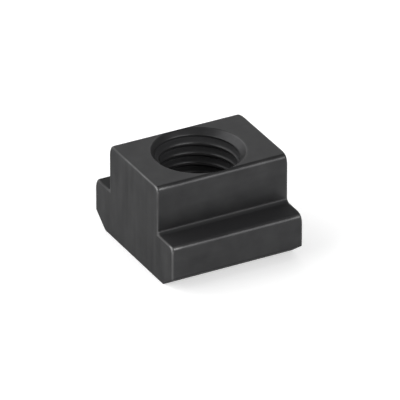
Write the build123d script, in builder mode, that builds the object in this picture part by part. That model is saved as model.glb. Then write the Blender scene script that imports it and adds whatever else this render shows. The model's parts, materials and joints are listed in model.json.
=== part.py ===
from build123d import *
from build123d.topology import SkipClean
import math
import os

# A T-slot nut: a T-shaped block of hardened steel that slides along the slot of a machine table.
# Its neck stands in the narrow mouth of the slot, its two shoulders pull up against the slot's lips,
# and a stud or bolt screws down into the threaded hole through its middle.
#
# Frame: +X runs along the slot, +Y across it and +Z up out of it. The origin is the middle of the
# underside, on the thread's axis. Millimetres and degrees.

# Block
nut_length = 19.85         # along the slot
neck_width = 13.8          # a loose sliding fit in a 14 mm slot
flange_width = 22.2        # over both shoulders
flange_height = 6.85       # underside to shoulder
total_height = 13.95       # underside to top face

# Edges of the T section
neck_round = 0.65          # top edges of the neck
inner_fillet = 0.6         # where the neck rises from the shoulders
shoulder_round = 0.65      # outer edges of the shoulders
bottom_flat_width = 2.7    # sloping flats along the underside, measured across
bottom_flat_height = 2.0   # and upwards
bottom_flat_round = 0.6    # where those flats meet the underside
flat_edge_round = 0.25     # and where they meet the sides
end_break = 0.12           # sharp edges broken at 45 degrees all round both ends

# Threaded hole, M12 x 1.5
thread_diameter = 12.0     # at the root of the grooves
thread_pitch = 1.5
bore_diameter = 10.4       # drilled hole, left as the crest of the thread
top_sink_width = 0.5       # how far the top countersink opens out past the thread
bottom_sink_width = 0.5    # and the bottom one
sink_half_angle = 45
thread_start = 233         # turns the whole thread about its axis

thread_radius = thread_diameter / 2
bore_radius = bore_diameter / 2
flank_slope = math.tan(math.radians(30))
root_flat = thread_pitch / 8
sink_tip_radius = bore_radius / 2   # the countersinking tool's tip, well inside the bore
tap_overrun = thread_pitch          # how far the ridge of the tap runs past each face
tap_shank = 3 * thread_pitch        # the core of the tap runs further, clear of the ridge's ends


# The tap: a core of the drilled size with the groove's helical ridge round it.
ridge_sink = 0.1                    # the ridge starts this far inside the core
ridge_depth = thread_radius - bore_radius
ridge_half_foot = root_flat / 2 + (ridge_depth + ridge_sink) * flank_slope

with BuildPart() as tap:
    with BuildSketch(Plane.XY.offset(-tap_shank)):
        Circle(bore_radius)
    extrude(amount=total_height + 2 * tap_shank)
    with BuildLine() as groove_path:
        Helix(
            pitch=thread_pitch,
            height=total_height + 2 * tap_overrun,
            radius=bore_radius,
            center=(0, 0, -tap_overrun),
        )
    groove_start = groove_path.line @ 0
    with BuildSketch(Plane(origin=groove_start, x_dir=(1, 0, 0), z_dir=groove_path.line % 0)):
        with BuildLine():
            Polyline(
                (-ridge_sink, -ridge_half_foot),
                (ridge_depth, -root_flat / 2),
                (ridge_depth, root_flat / 2),
                (-ridge_sink, ridge_half_foot),
                close=True,
            )
        make_face()
    sweep(path=groove_path.line, is_frenet=True)
    # split lengthwise into quarters, so that each quarter turn it cuts is a face of its own
    for side in (Plane.XZ, Plane.YZ):
        split(bisect_by=side.rotated((0, 0, 45)), keep=Keep.BOTH)


# The nut: the T section run along the slot, its ends broken, then sunk and tapped.
with BuildPart() as t_slot_nut:
    with BuildSketch(Plane.YZ):
        with BuildLine():
            FilletPolyline(
                (0, 0),
                (flange_width / 2 - bottom_flat_width, 0),
                (flange_width / 2, bottom_flat_height),
                (flange_width / 2, flange_height),
                (neck_width / 2, flange_height),
                (neck_width / 2, total_height),
                (0, total_height),
                radius=[bottom_flat_round, flat_edge_round, shoulder_round, inner_fillet, neck_round],
            )
            mirror(about=Plane.YZ)
        make_face()
    extrude(amount=nut_length / 2, both=True)
    chamfer(faces().filter_by(Axis.X).edges(), end_break)
    for sink_plane, sink_width in (
        (Plane.XY.offset(total_height), top_sink_width),
        (-Plane.XY, bottom_sink_width),
    ):
        rim_radius = thread_radius + sink_width
        sink_depth = (rim_radius - sink_tip_radius) / math.tan(math.radians(sink_half_angle))
        with BuildSketch(sink_plane):
            Circle(rim_radius)
        extrude(amount=-sink_depth, taper=sink_half_angle, mode=Mode.SUBTRACT)
    with SkipClean():
        add(tap.part.rotate(Axis.Z, thread_start).solids(), mode=Mode.SUBTRACT, clean=False)

t_slot_nut.part.label = "t_slot_nut"

os.makedirs("parts", exist_ok=True)
export_step(t_slot_nut.part, "parts/t_slot_nut.step")
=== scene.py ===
import json
import math
import bpy
import numpy as np
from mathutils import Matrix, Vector


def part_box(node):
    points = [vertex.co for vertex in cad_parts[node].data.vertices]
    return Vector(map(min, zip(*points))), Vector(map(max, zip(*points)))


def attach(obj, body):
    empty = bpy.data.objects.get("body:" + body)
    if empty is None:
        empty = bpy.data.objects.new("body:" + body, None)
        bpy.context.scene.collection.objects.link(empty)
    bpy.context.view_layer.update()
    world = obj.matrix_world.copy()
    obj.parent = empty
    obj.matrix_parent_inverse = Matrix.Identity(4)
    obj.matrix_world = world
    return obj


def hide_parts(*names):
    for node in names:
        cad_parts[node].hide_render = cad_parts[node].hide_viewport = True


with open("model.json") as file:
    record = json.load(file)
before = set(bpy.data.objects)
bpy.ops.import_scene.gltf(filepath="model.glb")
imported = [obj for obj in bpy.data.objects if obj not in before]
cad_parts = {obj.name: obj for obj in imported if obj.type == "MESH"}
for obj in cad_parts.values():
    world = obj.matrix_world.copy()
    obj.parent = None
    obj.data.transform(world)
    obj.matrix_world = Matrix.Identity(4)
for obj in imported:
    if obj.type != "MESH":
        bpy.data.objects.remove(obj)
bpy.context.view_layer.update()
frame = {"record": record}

# Sizes that the frame already holds, in metres. +X runs along the slot and +Z up the threaded hole.
mounts = {mount["name"]: mount for mount in frame["record"]["mounts"]}
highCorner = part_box("t_slot_nut")[1]
halfLength = highCorner.x
halfFlange = highCorner.y
topHeight = highCorner.z
halfNeck = mounts["neck_back"]["pos_m"][1]
shoulderHeight = mounts["shoulder_back"]["pos_m"][2]
boreRadius = mounts["stud_thread"]["dims"]["r_mm"] / 1000
print("frame loaded")


def meshObject(name, points, faces):
    # points is an array of places, and faces a list of lists of their numbers
    mesh = bpy.data.meshes.new(name)
    mesh.from_pydata(points.tolist(), [], faces)
    mesh.update()
    made = bpy.data.objects.new(name, mesh)
    bpy.context.scene.collection.objects.link(made)
    return made


def closedTube(rows, columns):
    # quads of a rows x columns grid whose columns run round and join up, with a cap on the first row
    # and one on the last
    row, column = np.meshgrid(np.arange(rows - 1), np.arange(columns), indexing="ij")
    after = (column + 1) % columns
    lower, upper = row * columns, (row + 1) * columns
    corners = (lower + column, lower + after, upper + after, upper + column)
    faces = np.stack(corners, axis=-1).reshape(-1, 4).tolist()
    faces.append(list(range(columns))[::-1])
    faces.append(list(range((rows - 1) * columns, rows * columns)))
    return faces


# The block: the T outline, every corner an arc, carried along X
block = {
    "bottomFlatWidth": 0.0027,    # sloping flats along the underside
    "bottomFlatHeight": 0.0020,
    "neckRound": 0.00065,
    "innerFillet": 0.0006,
    "shoulderRound": 0.00065,
    "flatEdgeRound": 0.00025,
    "bottomFlatRound": 0.0006,
    "endRound": 0.00013,          # broken edge round both ends
    "wornEdges": ("shoulderRound", "neckRound"),
    "cornerRound": 0.00034,       # how much rounder the ends are where those edges meet them
    "cornerReach": 0.0008,        # and how far past the arcs that goes on
    "arcSteps": 12,               # faces round each corner,
    "reachSteps": 5,              # along each lead to it,
    "endSteps": 6,                # and over the ends' edges
    "sharpAngle": 38,             # degrees, folds steeper than this are shaded sharp
}


def roundedOutline(corners, radii, worn):
    # each corner becomes an arc: it starts r * tan(half the turn) before the corner, its centre lies r
    # to the side, and its normal turns evenly from one side's to the next. Straight points lead into it
    # and out of it. On worn corners bulge is cos(pi / 2 * u) squared, where u goes from 0 at the arc's
    # middle to 1 at the far ends of those leads, and on the others it is 0.
    before = np.roll(corners, 1, axis=0)
    after = np.roll(corners, -1, axis=0)
    into = (corners - before) / np.linalg.norm(corners - before, axis=1, keepdims=True)
    out = (after - corners) / np.linalg.norm(after - corners, axis=1, keepdims=True)
    turn = np.arctan2(into[:, 0] * out[:, 1] - into[:, 1] * out[:, 0], (into * out).sum(axis=1))
    side = np.sign(turn)
    normalIn = np.stack([into[:, 1], -into[:, 0]], axis=1)
    start = corners - into * (radii * np.abs(np.tan(turn / 2)))[:, None]
    centre = start - normalIn * (side * radii)[:, None]

    reach, steps, reachSteps = block["cornerReach"], block["arcSteps"], block["reachSteps"]
    lead = np.linspace(1, 0, reachSteps, endpoint=False)
    share = np.concatenate([np.zeros(reachSteps), np.linspace(0, 1, steps + 1), np.ones(reachSteps)])
    leadIn = np.concatenate([lead, np.zeros(steps + 1 + reachSteps)]) * reach
    leadOut = leadIn[::-1]
    angle = np.arctan2(normalIn[:, 1], normalIn[:, 0])[:, None] + turn[:, None] * share[None, :]
    normal = np.stack([np.cos(angle), np.sin(angle)], axis=-1)
    points = centre[:, None, :] + normal * (side * radii)[:, None, None]
    points += out[:, None, :] * leadOut[None, :, None] - into[:, None, :] * leadIn[None, :, None]

    halfArc = (radii * np.abs(turn) / 2)[:, None]
    fromMiddle = halfArc * (2 * share[None, :] - 1) + leadOut - leadIn
    bulge = worn[:, None] * np.cos(np.pi / 2 * fromMiddle / (halfArc + reach)) ** 2
    return points.reshape(-1, 2), normal.reshape(-1, 2), bulge.reshape(-1)


def makeBlock():
    right = np.array([
        (halfFlange - block["bottomFlatWidth"], 0),
        (halfFlange, block["bottomFlatHeight"]),
        (halfFlange, shoulderHeight),
        (halfNeck, shoulderHeight),
        (halfNeck, topHeight),
    ])
    corners = np.concatenate([right, right[::-1] * (-1, 1)])
    edges = ("bottomFlatRound", "flatEdgeRound", "shoulderRound", "innerFillet", "neckRound")
    edges += edges[::-1]
    radii = np.array([block[edge] for edge in edges])
    worn = np.array([float(edge in block["wornEdges"]) for edge in edges])
    outline, normal, bulge = roundedOutline(corners, radii, worn)

    # a quarter circle round each end: the outline draws in by r (1 - sin a) where it stands back from the
    # end by r (1 - cos a)
    quarter = np.linspace(0, np.pi / 2, block["endSteps"] + 1)
    endRadius = block["endRound"] + block["cornerRound"] * bulge
    rise = np.concatenate([np.sin(quarter), np.sin(quarter)[::-1]])
    back = np.concatenate([1 - np.cos(quarter), (1 - np.cos(quarter))[::-1]])
    towards = np.repeat([-1, 1], len(quarter))
    inset = (1 - rise)[:, None] * endRadius[None, :]
    x = towards[:, None] * (halfLength - back[:, None] * endRadius[None, :])
    y = outline[None, :, 0] - normal[None, :, 0] * inset
    z = outline[None, :, 1] - normal[None, :, 1] * inset
    points = np.stack([x, y, z], axis=-1).reshape(-1, 3)
    return meshObject("nut", points, closedTube(len(rise), len(outline)))


# The hole: drilled, countersunk at both faces and tapped
hole = {
    "threadRadius": 0.0060,       # root of the grooves
    "pitch": 0.0015,
    "start": 233,                 # degrees, turns the whole thread about its axis
    "flankAngle": 30,             # degrees, each side of the groove
    "topSink": 0.0065,            # radius of the countersinks at the faces
    "bottomSink": 0.0065,
    "rimFlare": 0.00004,          # rounds off the countersinks' rims: how deep that goes,
    "flareWidth": 1.7,            # and how far out, as a multiple of it
    "threadRound": 0.00030,       # rounds the thread's edges
    "sinkRound": 0.00020,         # and the foot of the countersinks
    "overrun": 0.0004,            # how far the cutter stands out of both faces
    "rowHeight": 0.00005,         # the cutter's grid
    "columns": 192,
}


def softMax(first, second, blend):
    # the larger of two, as (a + b + sqrt((a - b)^2 + blend^2)) / 2, which rounds the corner between them
    return (first + second + np.sqrt((first - second) ** 2 + blend ** 2)) / 2


def makeCutter():
    # radius as a function of angle and height. The groove's middle follows z = pitch * (angle - start) /
    # (2 pi), its depth falls off along the flanks to both sides, and softMax holds it between 0 and the
    # full depth. A countersink is a 45 degree cone that opens by width * flare * e^(-depth / flare) more
    # at its rim. The widest of them wins, with the corners between them rounded.
    bottom, top = -hole["overrun"], topHeight + hole["overrun"]
    rows = int(round((top - bottom) / hole["rowHeight"])) + 1
    angle = np.linspace(0, 2 * np.pi, hole["columns"], endpoint=False)[None, :]
    height = np.linspace(bottom, top, rows)[:, None]
    turns = height / hole["pitch"] - (angle - math.radians(hole["start"])) / (2 * np.pi)
    fromGroove = np.abs(turns - np.round(turns)) * hole["pitch"]
    depth = hole["threadRadius"] - boreRadius
    slope = math.tan(math.radians(hole["flankAngle"]))
    rootFlat = hole["pitch"] / 8
    flank = (rootFlat / 2 + depth * slope - fromGroove) / slope
    groove = depth - softMax(depth - softMax(flank, 0, hole["threadRound"]), 0, hole["threadRound"])

    topGap = topHeight - height
    flare = hole["rimFlare"]
    topCone = hole["topSink"] - topGap + hole["flareWidth"] * flare * np.exp(-topGap / flare)
    bottomCone = hole["bottomSink"] - height + hole["flareWidth"] * flare * np.exp(-height / flare)
    sinks = softMax(topCone, bottomCone, hole["sinkRound"])
    radius = softMax(boreRadius + groove, sinks, hole["sinkRound"])
    x = radius * np.cos(angle)
    y = radius * np.sin(angle)
    z = np.broadcast_to(height, radius.shape)
    points = np.stack([x, y, z], axis=-1).reshape(-1, 3)
    return meshObject("cutter", points, closedTube(rows, hole["columns"]))


def makeNut():
    nut = makeBlock()
    cutter = makeCutter()
    cut = nut.modifiers.new("hole", "BOOLEAN")
    cut.object = cutter
    cut.operation = "DIFFERENCE"
    cut.solver = "EXACT"
    graph = bpy.context.evaluated_depsgraph_get()
    nut.data = bpy.data.meshes.new_from_object(nut.evaluated_get(graph), depsgraph=graph)
    nut.data.name = "nut"
    nut.modifiers.clear()
    bpy.data.objects.remove(cutter)
    nut.data.polygons.foreach_set("use_smooth", np.ones(len(nut.data.polygons), dtype=bool))
    nut.data.set_sharp_from_angle(angle=math.radians(block["sharpAngle"]))
    even = nut.modifiers.new("even normals", "WEIGHTED_NORMAL")
    even.keep_sharp = True
    even.weight = 100    # the widest faces count most
    return nut


nut = makeNut()
print("nut made,", len(nut.data.polygons), "faces")
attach(nut, "root")
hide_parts("t_slot_nut")


def addNode(tree, kind, inputs=None, **settings):
    # makes a node, sets its options, and fills its inputs: a socket is linked, the rest are plain values
    node = tree.nodes.new(kind)
    for name, value in settings.items():
        setattr(node, name, value)
    for key, value in (inputs or {}).items():
        if isinstance(value, bpy.types.NodeSocket):
            tree.links.new(value, node.inputs[key])
        else:
            node.inputs[key].default_value = value
    return node


def mathNode(tree, operation, first, second=0.0, third=0.0):
    inputs = {0: first, 1: second, 2: third}
    return addNode(tree, "ShaderNodeMath", inputs, operation=operation).outputs[0]


def productNode(tree, *factors):
    product = factors[0]
    for factor in factors[1:]:
        product = mathNode(tree, "MULTIPLY", product, factor)
    return product


def lengthNode(tree, first, second):
    # sqrt(a^2 + b^2)
    square = mathNode(tree, "MULTIPLY_ADD", first, first, mathNode(tree, "MULTIPLY", second, second))
    return mathNode(tree, "SQRT", square)


def fadeNode(tree, value, full, none):
    # 1 where the value is at full, 0 where it is at none, and a smooth step between
    return addNode(tree, "ShaderNodeMapRange", {
        "Value": value, "From Min": full, "From Max": none, "To Min": 1.0, "To Max": 0.0,
    }, interpolation_type="SMOOTHSTEP").outputs[0]


def noiseNode(tree, place, scale, detail, stretch=(1, 1, 1), middle=0.5):
    # noise less its middle; where the stretch is small, the pattern is drawn out that way
    placed = addNode(tree, "ShaderNodeMapping", {"Vector": place, "Scale": stretch}).outputs[0]
    noise = addNode(tree, "ShaderNodeTexNoise", {"Vector": placed, "Scale": scale, "Detail": detail})
    return mathNode(tree, "SUBTRACT", noise.outputs["Fac"], middle)


def mixNode(tree, factor, first, second):
    inputs = {"Factor": factor, "A": first, "B": second}
    return addNode(tree, "ShaderNodeMix", inputs, data_type="RGBA").outputs["Result"]


def foldedPlace(tree, place):
    # |x|, |y| and |z|, because both ends and both sides are alike
    folded = addNode(tree, "ShaderNodeVectorMath", {0: place}, operation="ABSOLUTE").outputs[0]
    return tuple(addNode(tree, "ShaderNodeSeparateXYZ", {0: folded}).outputs)


def newGroup(name, values, masks):
    # a group that takes Vector and the values, and puts out the masks
    tree = bpy.data.node_groups.new(name, "ShaderNodeTree")
    tree.interface.new_socket("Vector", in_out="INPUT", socket_type="NodeSocketVector")
    for value in values:
        tree.interface.new_socket(value, in_out="INPUT", socket_type="NodeSocketFloat")
    for mask in masks:
        tree.interface.new_socket(mask, in_out="OUTPUT", socket_type="NodeSocketFloat")
    return tree, tree.nodes.new("NodeGroupInput").outputs, tree.nodes.new("NodeGroupOutput").inputs


def groupNode(tree, group, place, values=None):
    inputs = {"Vector": place, **(values or {})}
    return addNode(tree, "ShaderNodeGroup", inputs, node_tree=group).outputs


# Where the skin is worn, together with a painted highlight along the edges that is brighter near the ends
# and corners. The masks add up, so that they can pass 1 at the corners.
wearAndHighlight = {
    "longEdges": 0.45,               # on the edges along X
    "nearEnd": (0.0006, 0.0020),     # they gain 1 this near an end, and nothing that far from it
    "endEdges": 1.15,                # on the edges round the ends
    "nearCorner": (0.0003, 0.0010),  # they gain 1 this near a long edge, and nothing that far from it
    "border": (900, 4),              # scale and detail of the noise that breaks up the border
    "patches": (170, 2),             # and of the noise that makes the wear patchy
}


def cornerDepth(tree, first, second, rounding):
    # how deep a point lies inside a rounded corner, from its depths behind the two sides: r less the
    # length of what each depth lacks of r
    lacks = [mathNode(tree, "SUBTRACT", rounding, depth) for depth in (first, second)]
    lacks = [mathNode(tree, "MAXIMUM", lack, 0) for lack in lacks]
    return mathNode(tree, "SUBTRACT", rounding, lengthNode(tree, *lacks))


def makeEdgeWearHighlightGroup():
    # Mask is highest on the block's outer edges and, times Rims, on the hole's rims, and fades to 0 over
    # Width; it marks wear and a painted highlight. Unevenness breaks up its border, and Patches its
    # strength.
    tree, given, out = newGroup("edge wear", ("Width", "Unevenness", "Patches", "Rims"), ("Mask",))
    x, y, z = foldedPlace(tree, given["Vector"])

    # distance to the edges along X, from the middle of each arc, and depth inside the rounded outline
    fromEdges = []
    depths = []
    for side, level, edge in (
        (halfNeck, topHeight, "neckRound"),
        (halfFlange, shoulderHeight, "shoulderRound"),
    ):
        behindSide = mathNode(tree, "SUBTRACT", side, y)
        belowTop = mathNode(tree, "SUBTRACT", level, z)
        sunk = block[edge] * (1 - math.sqrt(0.5))
        fromArc = [mathNode(tree, "SUBTRACT", depth, sunk) for depth in (behindSide, belowTop)]
        fromEdges.append(lengthNode(tree, *fromArc))
        depths.append(cornerDepth(tree, behindSide, belowTop, block[edge] + block["cornerRound"]))
    fromEdge = mathNode(tree, "MINIMUM", *fromEdges)

    # distance to the edges round the ends: how deep inside the outline, or how far from the end
    fromEnd = mathNode(tree, "SUBTRACT", halfLength, x)
    fromEndEdge = mathNode(tree, "MAXIMUM", fromEnd, mathNode(tree, "MAXIMUM", *depths))

    # distance to the rims of the hole
    radius = lengthNode(tree, x, y)
    fromRims = []
    for rim, level in ((hole["topSink"], topHeight), (hole["bottomSink"], 0)):
        outward = mathNode(tree, "SUBTRACT", radius, rim)
        upward = mathNode(tree, "SUBTRACT", z, level)
        fromRims.append(lengthNode(tree, outward, upward))
    fromRim = mathNode(tree, "MINIMUM", *fromRims)

    border = noiseNode(tree, given["Vector"], *wearAndHighlight["border"])
    uneven = mathNode(tree, "MULTIPLY_ADD", border, given["Unevenness"], 1)
    width = mathNode(tree, "MULTIPLY", given["Width"], uneven)
    nearEnd = mathNode(tree, "ADD", fadeNode(tree, fromEnd, *wearAndHighlight["nearEnd"]), wearAndHighlight["longEdges"])
    nearCorner = mathNode(tree, "ADD", fadeNode(tree, fromEdge, *wearAndHighlight["nearCorner"]), wearAndHighlight["endEdges"])
    longEdges = mathNode(tree, "MULTIPLY", fadeNode(tree, fromEdge, 0, width), nearEnd)
    endEdges = mathNode(tree, "MULTIPLY", fadeNode(tree, fromEndEdge, 0, width), nearCorner)
    rims = mathNode(tree, "MULTIPLY", fadeNode(tree, fromRim, 0, width), given["Rims"])
    mask = mathNode(tree, "ADD", mathNode(tree, "ADD", longEdges, endEdges), rims)
    patches = noiseNode(tree, given["Vector"], *wearAndHighlight["patches"])
    strength = mathNode(tree, "MULTIPLY_ADD", patches, given["Patches"], 1)
    strength = mathNode(tree, "MAXIMUM", strength, 0)
    tree.links.new(mathNode(tree, "MULTIPLY", mask, strength), out["Mask"])
    return tree


# Where the skin is dull, and painted darker as shade. Each pair is where its mask is full and where it is
# gone.
dullAndShadedZones = {
    "belowShoulder": (0.00002, 0.00010),
    "upFillet": (0.2, 0.75),             # above the shoulder, in radii of the inner fillet
    "behindFlat": (0.03, 0.12),          # in widths of the sloping flats
    "beyondCrest": (0.00035, 0.00010),   # further from the hole's axis than the crests
    "belowSink": (0.0003, 0.0001),       # deeper than the top countersink
    "neckSlack": 0.00001,                # takes in the top of the fillet, which ends on the neck
    "rootSlack": 0.0001,                 # and the roots of the grooves
}


def makeDullAndShadedGroup():
    # Mask is 1 on the tops of the shoulders with the foot of their inner fillets, on the sloping flats
    # below, and in the thread's grooves, which are made rougher and painted darker as shade; 0 elsewhere
    tree, given, out = newGroup("dull faces", (), ("Mask",))
    x, y, z = foldedPlace(tree, given["Vector"])

    below = mathNode(tree, "SUBTRACT", shoulderHeight, z)
    above = mathNode(tree, "DIVIDE", mathNode(tree, "SUBTRACT", z, shoulderHeight), block["innerFillet"])
    shoulders = productNode(
        tree,
        fadeNode(tree, below, *dullAndShadedZones["belowShoulder"]),
        fadeNode(tree, above, *dullAndShadedZones["upFillet"]),
        mathNode(tree, "GREATER_THAN", y, halfNeck - dullAndShadedZones["neckSlack"]),
    )

    # how far behind the flat's plane, as a share of the flat's width: 0 on it and more inside the block
    fromFoot = mathNode(tree, "SUBTRACT", y, halfFlange - block["bottomFlatWidth"])
    outwards = mathNode(tree, "DIVIDE", fromFoot, block["bottomFlatWidth"])
    upwards = mathNode(tree, "DIVIDE", z, block["bottomFlatHeight"])
    behind = mathNode(tree, "SUBTRACT", upwards, outwards)
    flats = fadeNode(tree, behind, *dullAndShadedZones["behindFlat"])

    # the countersink is a 45 degree cone: at a radius it is as deep as its rim lies further out
    radius = lengthNode(tree, x, y)
    depth = mathNode(tree, "SUBTRACT", topHeight, z)
    sinkDepth = mathNode(tree, "SUBTRACT", hole["topSink"], radius)
    grooves = productNode(
        tree,
        fadeNode(tree, mathNode(tree, "SUBTRACT", radius, boreRadius), *dullAndShadedZones["beyondCrest"]),
        fadeNode(tree, mathNode(tree, "SUBTRACT", depth, sinkDepth), *dullAndShadedZones["belowSink"]),
        mathNode(tree, "LESS_THAN", radius, hole["threadRadius"] + dullAndShadedZones["rootSlack"]),
    )
    dullAndShaded = mathNode(tree, "MAXIMUM", mathNode(tree, "MAXIMUM", shoulders, flats), grooves)
    tree.links.new(dullAndShaded, out["Mask"])
    return tree


# Fine lines: the ends are sawn up and down, and the sides drawn along X. A middle above 0.5 makes them
# darker than the skin.
toolMarks = {
    "Ends": {"scale": 1000, "detail": 5, "stretch": (0.2, 0.7, 0.09), "middle": 0.68},
    "Sides": {"scale": 1000, "detail": 3, "stretch": (0.05, 1.3, 1.3), "middle": 0.5},
}


def makeMarkGroup():
    # Ends and Sides are noise drawn out along the lines, each 0 on the other's faces
    tree, given, out = newGroup("tool marks", (), ("Ends", "Sides"))
    x = foldedPlace(tree, given["Vector"])[0]
    onEnds = mathNode(tree, "GREATER_THAN", x, halfLength - block["endRound"] / 2)
    onSides = mathNode(tree, "SUBTRACT", 1, onEnds)
    for name, place in (("Ends", onEnds), ("Sides", onSides)):
        lines = noiseNode(tree, given["Vector"], **toolMarks[name])
        tree.links.new(mathNode(tree, "MULTIPLY", place, lines), out[name])
    return tree


edgeWearHighlightGroup = makeEdgeWearHighlightGroup()
dullAndShadedGroup = makeDullAndShadedGroup()
markGroup = makeMarkGroup()

# Black oxide over steel: a dark satin skin, thinner where the edges are handled and lighter there with a
# painted highlight, and with painted shade on the shoulders, underside flats and grooves
oxide = {
    "darkColor": (0.018, 0.018, 0.019, 1),
    "lightColor": (0.061, 0.061, 0.062, 1),
    "clouds": (350, 4),                    # noise scale and detail of the skin's cloudy patches
    "mottle": 0.6,                         # how much they darken or lighten it
    "metallic": 0.7,
    "specular": 0.20,
    "grazingTint": (0.6, 0.6, 0.6, 1),     # holds back the mirror-like glare at flat angles
    "roughness": 0.40,
    "roughnessSpread": 0.10,               # how much rougher the light patches are than the dark ones
    "grain": (6000, 2),                    # noise scale and detail of the finest bumps
    "grainDepth": 0.000002,
    # painted shade: the darker colour of the shoulder tops, fillet feet, underside flats and grooves
    "paintedShadeColor": (0.022, 0.022, 0.023, 1),
    "dullRoughness": 0.40,                 # added to the roughness on the dull faces
    "markDepth": 0.000003,
    "markTone": 1.4,                       # how much the marks darken or lighten the skin
    "sideMarks": 0.1,                      # how strong they are on the sides, where the ends are 1
    # the worn edges' lighter colour, which is also a painted highlight
    "edgeWearHighlightColor": (0.15, 0.15, 0.15, 1),
    "edgeMetallic": 0.3,                   # how much more metallic the worn edges are
    "edgeWearHighlightAmount": 0.35,                    # how strongly the wear and its painted highlight show
    "edgeWearHighlightInputs": {"Width": 0.00035, "Unevenness": 0.5, "Patches": 4.5, "Rims": 0.25},
}


def makeOxide():
    material = bpy.data.materials.new("blackOxideSteel")
    material.use_nodes = True
    tree = material.node_tree
    skin = tree.nodes["Principled BSDF"].inputs
    skin["Specular Tint"].default_value = oxide["grazingTint"]
    skin["Specular IOR Level"].default_value = oxide["specular"]
    place = addNode(tree, "ShaderNodeTexCoord").outputs["Object"]
    # worn is the edge wear mask, which also carries a painted highlight
    worn = groupNode(tree, edgeWearHighlightGroup, place, oxide["edgeWearHighlightInputs"])["Mask"]
    edge = mathNode(tree, "MULTIPLY", worn, oxide["edgeWearHighlightAmount"])
    # the dull faces, painted darker as shade as well as made rougher and less metallic
    dullAndShaded = groupNode(tree, dullAndShadedGroup, place)["Mask"]
    lines = groupNode(tree, markGroup, place)
    marks = mathNode(tree, "MULTIPLY_ADD", lines["Sides"], oxide["sideMarks"], lines["Ends"])

    # tone is 0 where the skin is dark and 1 where it is light
    clouds = noiseNode(tree, place, *oxide["clouds"])
    tone = mathNode(tree, "MULTIPLY_ADD", clouds, oxide["mottle"], 0.5)
    tone = mathNode(tree, "MULTIPLY_ADD", marks, oxide["markTone"], tone)
    color = mixNode(tree, tone, oxide["darkColor"], oxide["lightColor"])
    # painted shade darkens the dull faces, then the worn edges get a lighter colour that is partly a
    # painted highlight
    color = mixNode(tree, dullAndShaded, color, oxide["paintedShadeColor"])
    color = mixNode(tree, edge, color, oxide["edgeWearHighlightColor"])
    tree.links.new(color, skin["Base Color"])

    shine = mathNode(tree, "SUBTRACT", 1, dullAndShaded)
    metallic = mathNode(tree, "MULTIPLY", shine, oxide["metallic"])
    metallic = mathNode(tree, "MULTIPLY_ADD", edge, oxide["edgeMetallic"], metallic)
    tree.links.new(metallic, skin["Metallic"])

    fromMiddle = mathNode(tree, "SUBTRACT", tone, 0.5)
    rough = mathNode(tree, "MULTIPLY_ADD", fromMiddle, oxide["roughnessSpread"], oxide["roughness"])
    rough = mathNode(tree, "MULTIPLY_ADD", dullAndShaded, oxide["dullRoughness"], rough)
    tree.links.new(rough, skin["Roughness"])

    grain = mathNode(tree, "MULTIPLY", noiseNode(tree, place, *oxide["grain"]), oxide["grainDepth"])
    height = mathNode(tree, "MULTIPLY_ADD", marks, oxide["markDepth"], grain)
    bump = addNode(tree, "ShaderNodeBump", {"Height": height, "Strength": 1.0, "Distance": 1.0})
    tree.links.new(bump.outputs["Normal"], skin["Normal"])
    return material


nut.data.materials.clear()
nut.data.materials.append(makeOxide())
print("materials made")


def direction(azimuth, elevation):
    # azimuth 0 is the front (-Y) and 90 the right (+X), both in degrees
    turn, rise = math.radians(azimuth), math.radians(elevation)
    return Vector((math.sin(turn) * math.cos(rise), -math.cos(turn) * math.cos(rise), math.sin(rise)))


# The studio: a bright low box in front, a broad panel behind on the left, a small light between them
# that catches the near corners, a weak panel behind on the right, and a dim sky
studio = {
    "lamps": {
        "frontBox": {"azimuth": 20, "elevation": 24, "size": (0.70, 0.42), "glow": 5.2},
        "leftPanel": {"azimuth": -135, "elevation": 36, "size": (1.20, 0.70), "glow": 2.4},
        "cornerLight": {"azimuth": -82, "elevation": 24, "size": (0.45, 0.35), "glow": 3.5},
        "backPanel": {"azimuth": 155, "elevation": 20, "size": (0.80, 0.40), "glow": 1.5},
    },
    "lampDistance": 0.8,
    "horizon": 0.30,
    "zenith": 0.22,
    "skyColor": (1, 1, 1, 1),
    "floorColor": (0.80, 0.80, 0.80, 1),
    "floorRoughness": 0.9,
    "floorGlow": 0.42,           # lifts the pale floor towards white where it is seen or mirrored
    "floorGlowColor": (1, 1, 1, 1),
    "floorSize": 3.0,
}


def makeLamp(name, wanted):
    # a rectangle that faces the middle of the nut; its power is glow * pi * its area
    width, height = wanted["size"]
    lamp = bpy.data.lights.new(name, "AREA")
    lamp.shape = "RECTANGLE"
    lamp.size, lamp.size_y = width, height
    lamp.energy = wanted["glow"] * math.pi * width * height
    placed = bpy.data.objects.new(name, lamp)
    away = direction(wanted["azimuth"], wanted["elevation"])
    placed.location = Vector((0, 0, topHeight / 2)) + away * studio["lampDistance"]
    placed.rotation_mode = "QUATERNION"
    placed.rotation_quaternion = (-away).to_track_quat("-Z", "Y")
    placed.visible_camera = False
    bpy.context.scene.collection.objects.link(placed)


def makeSky():
    world = bpy.data.worlds.new("studioSky")
    bpy.context.scene.world = world
    world.use_nodes = True
    tree = world.node_tree
    sky = tree.nodes["Background"].inputs
    sky["Color"].default_value = studio["skyColor"]
    upwards = addNode(tree, "ShaderNodeTexCoord").outputs["Generated"]
    height = addNode(tree, "ShaderNodeSeparateXYZ", {0: upwards}).outputs[2]
    level = addNode(tree, "ShaderNodeMapRange", {
        "Value": height, "From Min": 0.0, "From Max": 1.0,
        "To Min": studio["horizon"], "To Max": studio["zenith"],
    })
    tree.links.new(level.outputs[0], sky["Strength"])


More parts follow.
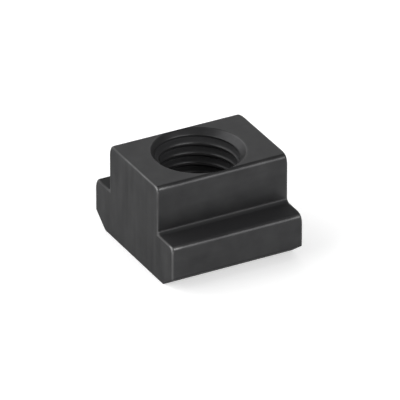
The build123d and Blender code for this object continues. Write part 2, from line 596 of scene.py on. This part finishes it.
def makeFloor():
    half = studio["floorSize"] / 2
    points = np.array([(-half, -half, 0), (half, -half, 0), (half, half, 0), (-half, half, 0)])
    floor = meshObject("floor", points, [(0, 1, 2, 3)])
    material = bpy.data.materials.new("paleFloor")
    material.use_nodes = True
    tree = material.node_tree
    surface = tree.nodes["Principled BSDF"].inputs
    surface["Base Color"].default_value = studio["floorColor"]
    surface["Roughness"].default_value = studio["floorRoughness"]
    surface["Specular IOR Level"].default_value = 0.0
    surface["Emission Color"].default_value = studio["floorGlowColor"]
    rays = addNode(tree, "ShaderNodeLightPath").outputs
    seen = mathNode(tree, "MAXIMUM", rays["Is Camera Ray"], rays["Is Glossy Ray"])
    seen = mathNode(tree, "MAXIMUM", seen, rays["Is Transmission Ray"])
    tree.links.new(mathNode(tree, "MULTIPLY", seen, studio["floorGlow"]), surface["Emission Strength"])
    floor.data.materials.append(material)


for name, wanted in studio["lamps"].items():
    makeLamp(name, wanted)
makeSky()
makeFloor()

# The camera
view = {
    "azimuth": -28.16,
    "elevation": 28.95,
    "distance": 0.882,
    "lens": 587,
    "sensor": 36,
    "nearest": 0.05,
    "furthest": 10,
    "aimRight": 0.00020,          # the frame's centre, from this height on the nut's axis
    "aimUp": -0.00016,
    "aimHeight": 0.00643,
}


def makeCamera():
    back = direction(view["azimuth"], view["elevation"])
    right = Vector((0, 0, 1)).cross(back).normalized()
    up = back.cross(right)
    camera = bpy.data.objects.new("camera", bpy.data.cameras.new("camera"))
    aim = Vector((0, 0, view["aimHeight"])) + right * view["aimRight"] + up * view["aimUp"]
    camera.location = aim + back * view["distance"]
    camera.rotation_mode = "QUATERNION"
    camera.rotation_quaternion = (-back).to_track_quat("-Z", "Y")
    camera.data.lens = view["lens"]
    camera.data.sensor_width = view["sensor"]
    camera.data.clip_start, camera.data.clip_end = view["nearest"], view["furthest"]
    bpy.context.scene.collection.objects.link(camera)
    bpy.context.scene.camera = camera


makeCamera()
bpy.context.scene.view_settings.view_transform = "Standard"
print("studio and camera made")
